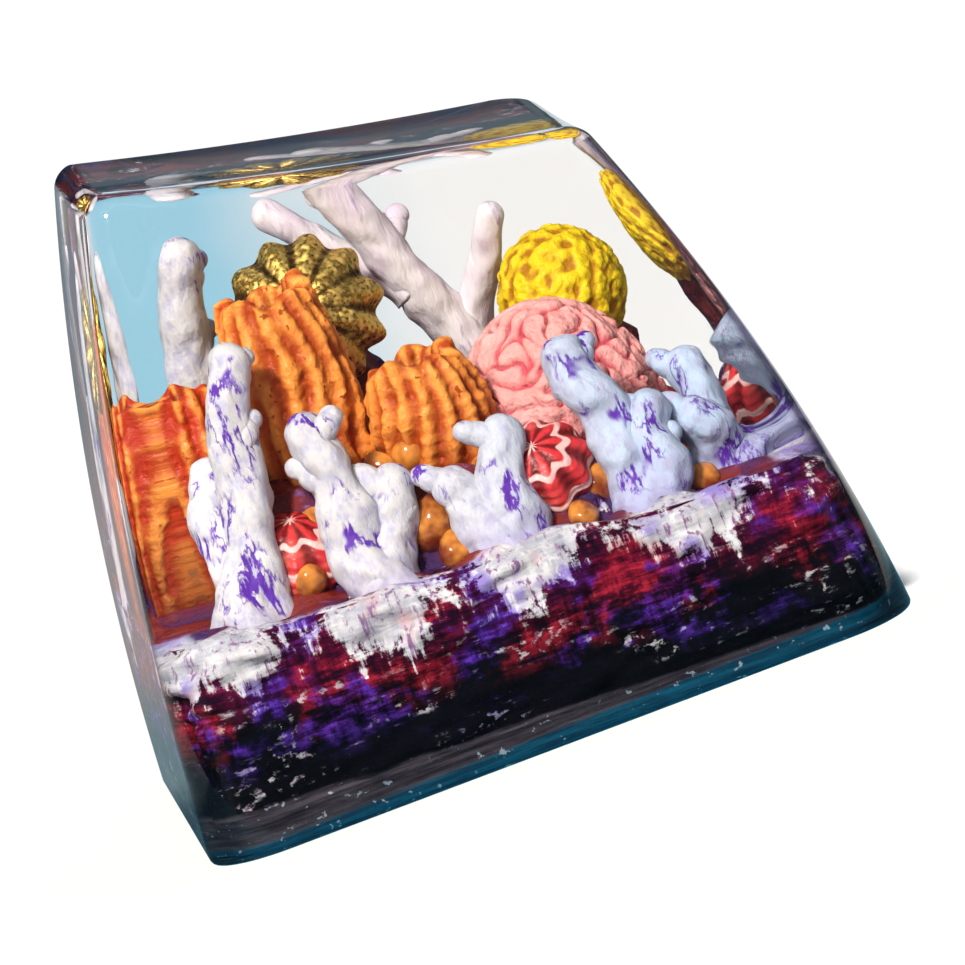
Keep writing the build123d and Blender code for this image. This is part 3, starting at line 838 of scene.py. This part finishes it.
PEBBLES = ((-0.5, -0.64, 0.14), (-0.14, -0.74, 0.1), (0.4, -0.72, 0.08), (0.78, -0.36, 0.04))
DROPS = (
    (-0.66, -0.5, 0.3, 0.36), (-0.24, -0.62, 0.26, 0.42), (-0.3, -0.72, 0.16, 0.32),
    (0.1, -0.66, 0.2, 0.4), (0.2, -0.44, 0.3, 0.34), (0.5, -0.66, 0.2, 0.36),
    (0.66, -0.5, 0.16, 0.42), (0.72, -0.22, 0.24, 0.34), (-0.2, -0.26, 0.36, 0.4),
    (0.08, -0.2, 0.34, 0.36), (-0.62, -0.34, 0.26, 0.4), (-0.58, -0.8, 0.06, 0.42),
    (-0.1, -0.84, 0.04, 0.46), (0.32, -0.85, 0.03, 0.4), (0.72, -0.76, 0.02, 0.44),
    (-0.12, -0.62, 0.28, 0.5),
)
beads = [pebble_surface(spot(*place), PEBBLE_RADIUS, 100 + k) for k, place in enumerate(PEBBLES)]
beads += [pebble_surface(spot(u, v, w), size, 110 + k) for k, (u, v, w, size) in enumerate(DROPS)]
pebbles = closed_piece("amber_pebble_beads", beads)
pebbles.data.materials.append(pebble_paint())
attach(pebbles, "root")
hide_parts("amber_pebbles")

# Clear resin body. Clear casting resin poured round the finished scene in a mould, then sanded and
# polished; it swells a little at the walls, has a shallow dish in its tilted top and eased rims.

DISH_RADIUS, DISH_DEPTH, RIM_ROUND, BASE_ROUND = 120.0, 0.3, 0.45, 0.18
RESIN_CLEAR = (0.9, 0.89, 0.89)
RESIN_SKY_SHADE_BLUE = (0.12, 0.42, 0.66)
RESIN_TEAL = (0.03, 0.3, 0.42)
RESIN_EDGE_SHADE = (0.04, 0.025, 0.045)
LAMP_TINT = (0.97, 0.98, 1.0, 1.0)
RESIN_IOR, FLANK_SHARE = 1.5, 0.65


def dish(xy):
    """Height of the top: the low side of a large ball set over the tilted top plane."""
    lift = DISH_RADIUS - DISH_DEPTH
    tilt = np.arctan(TOP_SLOPE)
    x = xy[..., 0] - (lift * np.sin(tilt) - TOP_SHIFT)
    return TOP_HEIGHT + lift * np.cos(tilt) - np.sqrt(DISH_RADIUS**2 - x**2 - xy[..., 1] ** 2)


def resin_body():
    """Rows of the clear body: hidden rows in the rock over the hollow, the hollow's clear edge, the
    base, a rounded base edge, the swelling walls, a rounded rim, and the dish drawn in to its middle."""
    edge = np.full(column_turn.size, TOP_HEIGHT)
    for _ in range(12):
        edge = dish(outline(edge, RIM_ROUND))
    foot_half = HOLLOW_HALF - HOLLOW_DRAFT * ROCK_FOOT
    hidden = [
        raised(rounded_square(0.3, 0.1), 3.75),
        raised(rounded_square(foot_half, HOLLOW_CORNER), 3.7),
        raised(rounded_square(foot_half + 0.15, HOLLOW_CORNER), ROCK_FOOT + 0.06),
        raised(rounded_square(foot_half, HOLLOW_CORNER), ROCK_FOOT + 0.02),
        raised(rounded_square(HOLLOW_HALF, HOLLOW_CORNER), 0.0),
    ]
    bend = np.linspace(0, np.pi / 2, 14)[:, None]
    base_level = BASE_ROUND * (1 - np.cos(bend)) + 0 * edge
    base = raised(outline(base_level, BASE_ROUND * (1 - np.sin(bend))), base_level)
    rise = np.linspace(0, 1, 48)[1:, None]
    level = BASE_ROUND + rise * (edge - RIM_ROUND - BASE_ROUND)
    walls = raised(outline(level, 0), level)
    bend = bend[1:]
    rim_level = edge - RIM_ROUND + RIM_ROUND * np.sin(bend)
    rim = raised(outline(rim_level, RIM_ROUND * (1 - np.cos(bend))), rim_level)
    draw_in = np.linspace(1, 0.01, 40)[1:, None, None]
    middle = np.array([-TOP_SHIFT, 0.0])
    plan = middle + (rim[-1, :, :2] - middle) * draw_in
    top = raised(plan, dish(plan))
    sharp = np.where(column_slide > 0, 0.0, np.where(SIDE_X[column_side] > 0, 1.6, 1.0))
    edge = np.vstack([np.tile(sharp, (len(rows), 1)) for rows in (base, walls, rim)])
    edge[: len(base)] = edge[-len(rim) :] = np.where(SIDE_X[column_side] > 0, 1.0, 0.65)
    edge = np.vstack([np.zeros((len(hidden), sharp.size)), edge, np.zeros(top.shape[:2])])
    flank = np.zeros(edge.shape)
    flank[len(hidden) : -len(top)] = np.clip((-np.cos(column_turn) - 0.5) / 0.4, 0, 1)
    return np.concatenate([hidden, base, walls, rim, top]), edge, flank


def resin_gloss():
    """Polished clear resin that bends sight and lets lamps through to the scene; at the back of the high
    side it has a pale blue tint that paints in sky-lit shade, along the foot a teal edge, painted shade
    that darkens its edges where they are seen at a slant, and rubbed corners; and the wall of the high side
    mirrors less of what is round it."""
    material, tree, shader, place = start_paint("clear_resin")
    axes = axes_of(tree, place)
    waves = mottle(tree, place, (0.22, 0.22, 0.22), 2.0, 0.5)
    side = sums(tree, "ADD", axes["X"], sums(tree, "MULTIPLY", waves, 0.006))
    # Painted shade: a pale blue tint in the back of the high side, standing for blue sky-lit shade seen
    # through the block.
    sky_shade_share = step_mask(tree, axes["Y"], 0.003, 0.005)
    sky_shade_share = sums(tree, "MULTIPLY", sky_shade_share, step_mask(tree, side, 0.006, -0.001))
    colour = coat_over(tree, sky_shade_share, RESIN_CLEAR, RESIN_SKY_SHADE_BLUE)
    colour = coat_over(tree, step_mask(tree, axes["Z"], 0.0004, 0.0001), colour, RESIN_TEAL)
    # Painted shade: the edges and corners darken where they are seen at a slant.
    facing = tree.nodes.new("ShaderNodeLayerWeight")
    edge_shade_share = sums(tree, "MULTIPLY", facing.outputs["Facing"], trait_of(tree, "edge"))
    edge_shade_share = step_mask(tree, edge_shade_share, 0.5, 0.95)
    colour = coat_over(tree, edge_shade_share, colour, RESIN_EDGE_SHADE)
    tree.links.new(colour, shader.inputs["Base Color"])
    wear = mottle(tree, place, (1.5, 1.5, 1.5), 6.0, 0.7, 3.0)
    rubbed = sums(tree, "MULTIPLY", step_mask(tree, wear, 0.45, 0.7), trait_of(tree, "edge"))
    rubbed = sums(tree, "ADD", sums(tree, "MULTIPLY", rubbed, 0.06), sums(tree, "MULTIPLY", wear, 0.02))
    tree.links.new(rubbed, shader.inputs["Roughness"])
    shader.inputs["IOR"].default_value = RESIN_IOR
    shader.inputs["Transmission Weight"].default_value = 1.0
    through = tree.nodes.new("ShaderNodeBsdfTransparent")
    through.inputs["Color"].default_value = LAMP_TINT
    choice = tree.nodes.new("ShaderNodeMixShader")
    path = tree.nodes.new("ShaderNodeLightPath")
    tree.links.new(path.outputs["Is Shadow Ray"], choice.inputs["Fac"])
    deep_sight = tree.nodes.new("ShaderNodeBsdfRefraction")
    deep_sight.inputs["IOR"].default_value = RESIN_IOR
    deep_sight.inputs["Roughness"].default_value = 0.02
    tree.links.new(colour, deep_sight.inputs["Color"])
    flank = tree.nodes.new("ShaderNodeMixShader")
    share = sums(tree, "MULTIPLY", path.outputs["Is Camera Ray"], trait_of(tree, "flank"))
    tree.links.new(sums(tree, "MULTIPLY", share, FLANK_SHARE), flank.inputs["Fac"])
    tree.links.new(shader.outputs["BSDF"], flank.inputs[1])
    tree.links.new(deep_sight.outputs["BSDF"], flank.inputs[2])
    tree.links.new(flank.outputs["Shader"], choice.inputs[1])
    tree.links.new(through.outputs["BSDF"], choice.inputs[2])
    tree.links.new(choice.outputs["Shader"], tree.nodes["Material Output"].inputs["Surface"])
    emboss(tree, waves, 0.02, shader)
    return material


rows, edge, flank = resin_body()
resin = closed_piece("clear_resin_body", [rows], edge=[edge], flank=[flank])
resin.data.materials.append(resin_gloss())
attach(resin, "root")
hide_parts("clear_resin_cap")

# Studio. A plain pale floor, one soft warm lamp from high in front and a little to the left, and a
# pale blue surround that is hazy near the horizon and dark behind the camera; the camera stands
# where the photograph was taken from.

FLOOR_HALF, FLOOR_DROP = 3.0, 0.02
KEY_DIRECTION, KEY_STRENGTH, KEY_SPREAD = (0.3, 0.68, -0.67), 4.6, np.radians(7.0)
SKY_STRENGTH = 0.35
KEY_COLOUR = (1.0, 0.94, 0.85)
FLOOR_GREY, FLOOR_PALE = (0.92, 0.92, 0.92), (0.94, 0.94, 0.94)
MIRROR_NEAR, MIRROR_TEAL = (0.06, 0.18, 0.26), (0.42, 0.64, 0.74)
MIRROR_WARM, MIRROR_FAR, MIRROR_INNER = (0.95, 0.87, 0.87), (0.62, 0.72, 0.8), (0.03, 0.08, 0.12)
HAZE_DARK, HAZE_PALE = (0.05, 0.12, 0.18), (0.4, 0.55, 0.62)
SKY_BLUE, SKY_TOP, SKY_BEHIND = (0.3, 0.55, 0.8), (0.85, 0.93, 1.0), (0.06, 0.11, 0.17)
AZIMUTH, ELEVATION, ROLL = np.radians([-3.93, 7.77, -19.99])
DISTANCE, FOCAL_LENGTH, SENSOR_WIDTH = 246.0, 368.2, 36.0
TARGET = np.array([0.75, 0.0, 5.47])

mesh = bpy.data.meshes.new("floor")
corners = FLOOR_HALF * np.array([(-1, -1, 0), (1, -1, 0), (1, 1, 0), (-1, 1, 0)])
corners -= [0, 0, FLOOR_DROP * MM]
mesh.from_pydata(corners.tolist(), [], [(0, 1, 2, 3)])
floor = bpy.data.objects.new("floor", mesh)
bpy.context.scene.collection.objects.link(floor)
floor_material, tree, shader, place = start_paint("pale_floor")
# Painted reflection: seen mirrored in the glass, the floor turns dark teal then teal near the block, warm
# further back and pale blue far off, and dark teal where the ray has also passed through the glass.
path = tree.nodes.new("ShaderNodeLightPath")
inner = sums(tree, "MULTIPLY", path.outputs["Glossy Depth"], path.outputs["Transmission Depth"])
grain = mottle(tree, place, (0.02, 0.02, 0.02))
pale = coat_over(tree, grain, FLOOR_GREY, FLOOR_PALE)
axes = axes_of(tree, place)
near = step_mask(tree, axes["Y"], 0.001, 0.009)
mirrored = coat_over(tree, near, MIRROR_NEAR, MIRROR_TEAL)
mirrored = coat_over(tree, step_mask(tree, axes["Y"], 0.012, 0.036), mirrored, MIRROR_WARM)
mirrored = coat_over(tree, step_mask(tree, axes["Y"], 0.06, 0.12), mirrored, MIRROR_FAR)
pale = coat_over(tree, step_mask(tree, path.outputs["Glossy Depth"], 0.2, 0.8), pale, mirrored)
pale = coat_over(tree, step_mask(tree, inner, 0.2, 0.8), pale, MIRROR_INNER)
finish_paint(tree, shader, pale, step_mask(tree, grain, -1.2, 0.9), 0.1, grain, 0.05)
mesh.materials.append(floor_material)

key = bpy.data.lights.new("key_lamp", "SUN")
key.energy = KEY_STRENGTH
key.angle = KEY_SPREAD
key.color = KEY_COLOUR
key_lamp = bpy.data.objects.new("key_lamp", key)
bpy.context.scene.collection.objects.link(key_lamp)
key_lamp.rotation_euler = Vector(KEY_DIRECTION).to_track_quat("-Z", "Y").to_euler()

surround = bpy.data.worlds.new("surround")
surround.use_nodes = True
tree = surround.node_tree
sky = tree.nodes.new("ShaderNodeTexCoord").outputs["Generated"]
axes = axes_of(tree, sky)
clouds = mottle(tree, sky, (0.004, 0.004, 0.008), 2.0, 0.5, 3.0)
haze = coat_over(tree, step_mask(tree, clouds, 0.42, 0.62), HAZE_DARK, HAZE_PALE)
colour = coat_over(tree, step_mask(tree, axes["Z"], 0.08, 0.4), haze, SKY_BLUE)
colour = coat_over(tree, step_mask(tree, axes["Z"], 0.4, 0.95), colour, SKY_TOP)
front = step_mask(tree, axes["Y"], -0.4, -0.8)
front = sums(tree, "MULTIPLY", front, step_mask(tree, axes["Z"], 0.7, 0.45))
colour = coat_over(tree, front, colour, SKY_BEHIND)
tree.links.new(colour, tree.nodes["Background"].inputs["Color"])
tree.nodes["Background"].inputs["Strength"].default_value = SKY_STRENGTH
bpy.context.scene.world = surround

back = np.array(
    [np.sin(AZIMUTH) * np.cos(ELEVATION), -np.cos(AZIMUTH) * np.cos(ELEVATION), np.sin(ELEVATION)]
)
right = np.cross([0, 0, 1], back)
right /= np.linalg.norm(right)
up = np.cross(back, right)
image_right = np.cos(ROLL) * right + np.sin(ROLL) * up
image_up = -np.sin(ROLL) * right + np.cos(ROLL) * up
eye = (TARGET + DISTANCE * back) * MM
lens = bpy.data.cameras.new("camera")
lens.lens = FOCAL_LENGTH
lens.sensor_width = SENSOR_WIDTH
lens.clip_start = 0.01
camera = bpy.data.objects.new("camera", lens)
bpy.context.scene.collection.objects.link(camera)
turned = np.column_stack([image_right, image_up, back, eye])
camera.matrix_world = Matrix([*turned.tolist(), [0, 0, 0, 1]])
bpy.context.scene.camera = camera
bpy.context.scene.view_settings.view_transform = "Standard"
